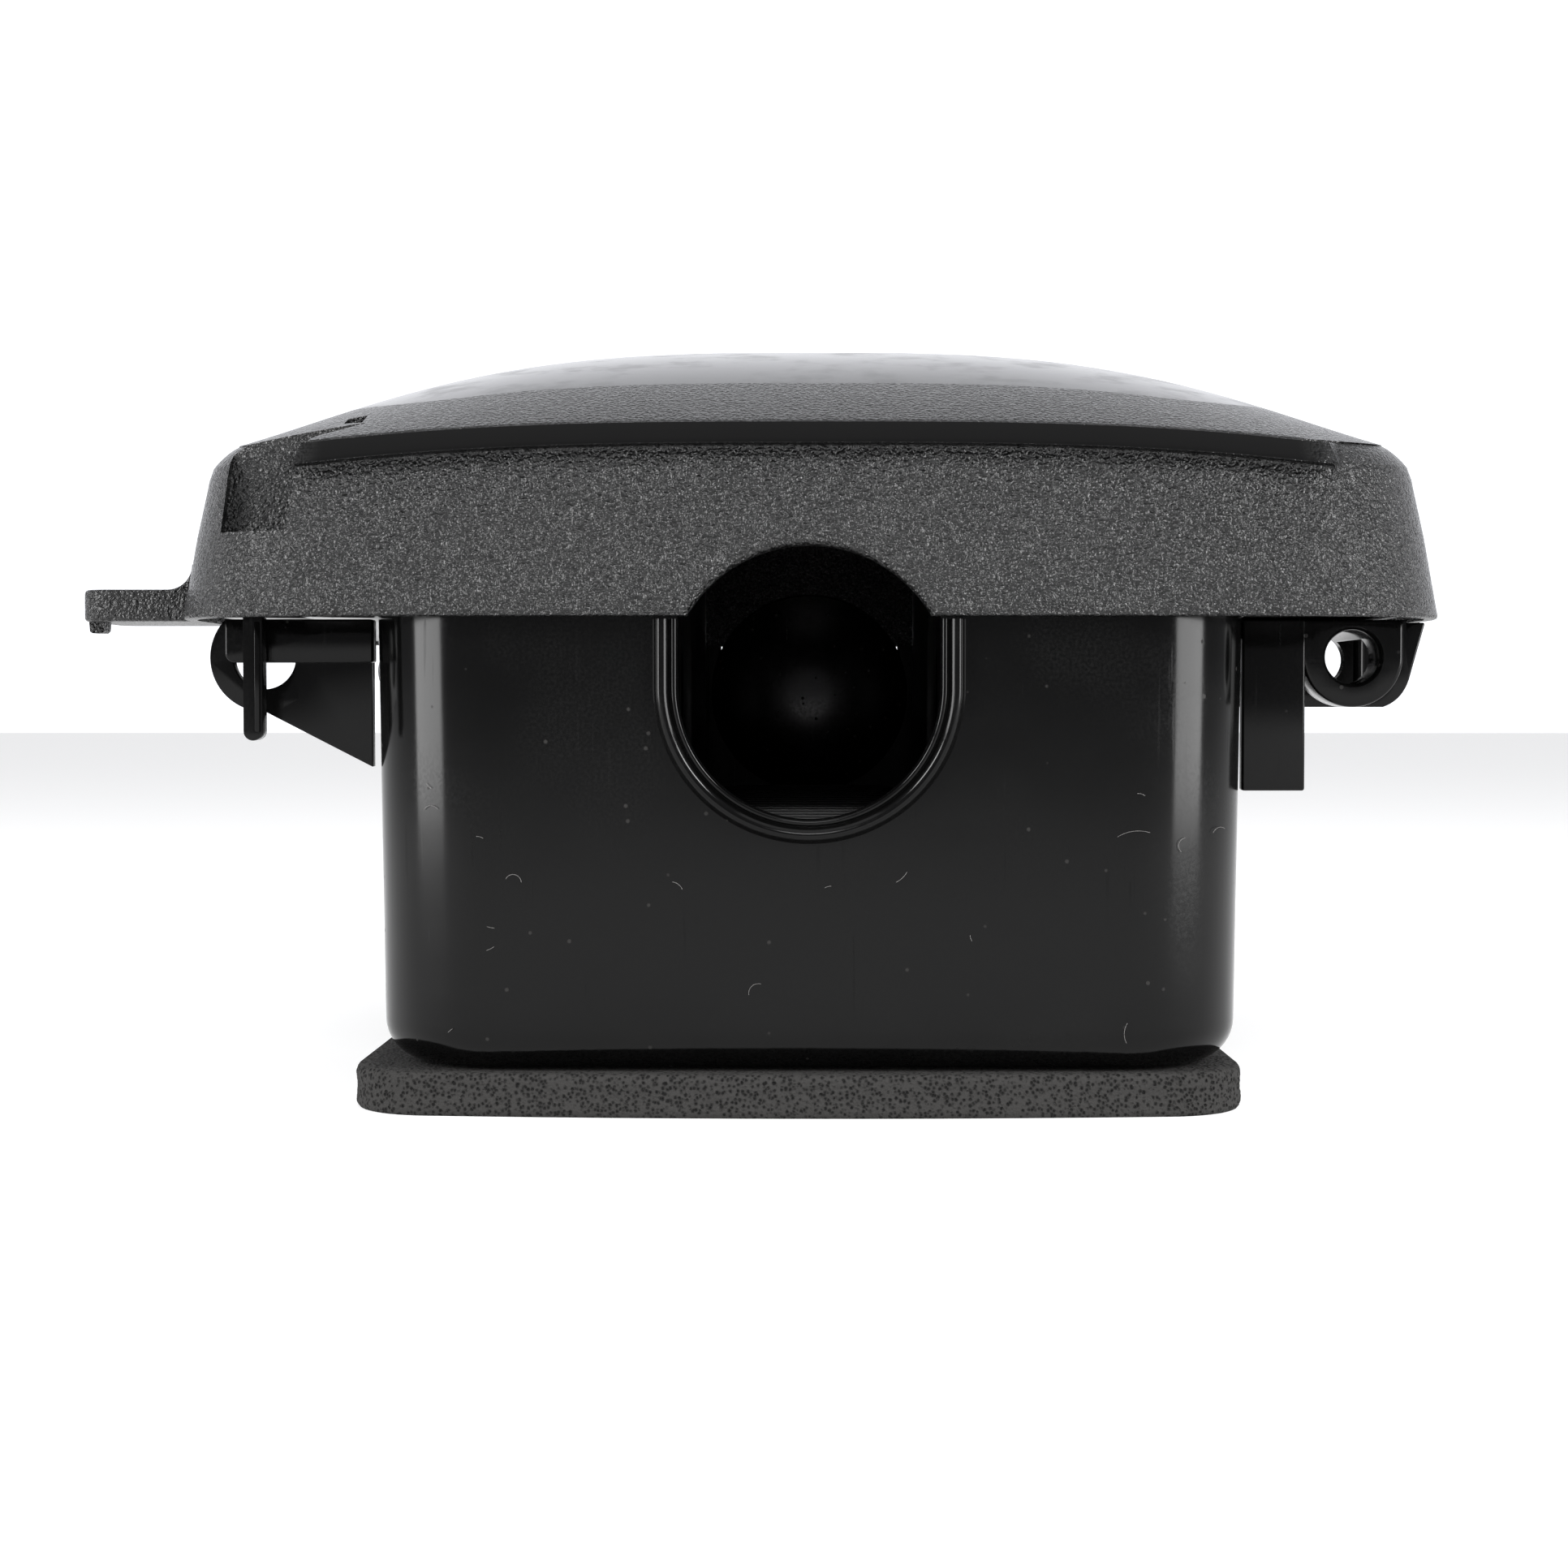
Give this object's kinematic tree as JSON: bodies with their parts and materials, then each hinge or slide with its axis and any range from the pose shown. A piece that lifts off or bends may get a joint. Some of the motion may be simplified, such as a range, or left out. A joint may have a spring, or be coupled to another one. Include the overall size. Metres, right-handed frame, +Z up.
{
  "type": "rodent bait station",
  "caption": "Lockable rodent bait station: deep box on a foam pad, U-shaped entry mouth, wide domed lid hinged along one side, sprung key latches, inner runway with bait rods.",
  "frame": {"origin": "centre of the foam pad's flat underside, below the middle of the box", "axes": "+Z up; -Y out of the open front mouth; +X towards the hinge side, -X towards the latches and lift tab"},
  "size_m": [0.2361, 0.2206, 0.1336],
  "materials": {
    "gloss_black": "moulded black plastic, glossy, with fine dust and light scratches",
    "grain_black": "moulded black plastic with a spark-erosion grain; the middle of the roof is smooth and glossy",
    "foam": "dark grey open-cell foam",
    "tray_grey": "satin dark grey plastic",
    "bait": "pressed waxy grain block",
    "card": "blank white record card",
    "steel": "drawn steel wire and pins",
    "ballast_iron": "rough cast plate"
  },
  "bodies": {
    "base": {"foam_pad": "foam", "base_box": "gloss_black", "flange_left": "gloss_black", "flange_right": "gloss_black", "rear_entry_blank": "gloss_black", "ballast_plate": "ballast_iron", "runway_tray": "tray_grey", "baffle_left": "tray_grey", "baffle_right": "tray_grey", "eye_bracket_front": "gloss_black", "lug_bracket_front": "gloss_black", "latch_pin_front": "steel", "latch_spring_front": "steel", "hinge_pin_front": "steel", "eye_bracket_rear": "gloss_black", "lug_bracket_rear": "gloss_black", "latch_pin_rear": "steel", "latch_spring_rear": "steel", "hinge_pin_rear": "steel", "bait_rod_front_left": "steel", "bait_block_front_left_lower": "bait", "bait_block_front_left_upper": "bait", "bait_rod_front_right": "steel", "bait_block_front_right_lower": "bait", "bait_block_front_right_upper": "bait", "bait_rod_rear_left": "steel", "bait_block_rear_left_lower": "bait", "bait_block_rear_left_upper": "bait", "bait_rod_rear_right": "steel", "bait_block_rear_right_lower": "bait", "bait_block_rear_right_upper": "bait"},
    "lid": {"lid_shell": "grain_black", "service_card": "card"},
    "latch_front": {"latch_lever_front": "gloss_black"},
    "latch_rear": {"latch_lever_rear": "gloss_black"}
  },
  "joints": [
    {"name": "lid_hinge", "type": "hinge", "parent": "base", "child": "lid", "pos_m": [0.1085, 0, 0.0842], "axis": [0, 1, 0], "range_deg": [0, 110]},
    {"name": "latch_front_turn", "type": "hinge", "parent": "base", "child": "latch_front", "pos_m": [-0.0915, -0.0948, 0.084], "axis": [0, 1, 0], "range_deg": [-20, 0], "stiffness_Nm_per_rad": 0.02, "springref_deg": -20},
    {"name": "latch_rear_turn", "type": "hinge", "parent": "base", "child": "latch_rear", "pos_m": [-0.0915, 0.0948, 0.084], "axis": [0, 1, 0], "range_deg": [-20, 0], "stiffness_Nm_per_rad": 0.02, "springref_deg": -20}
  ]
}
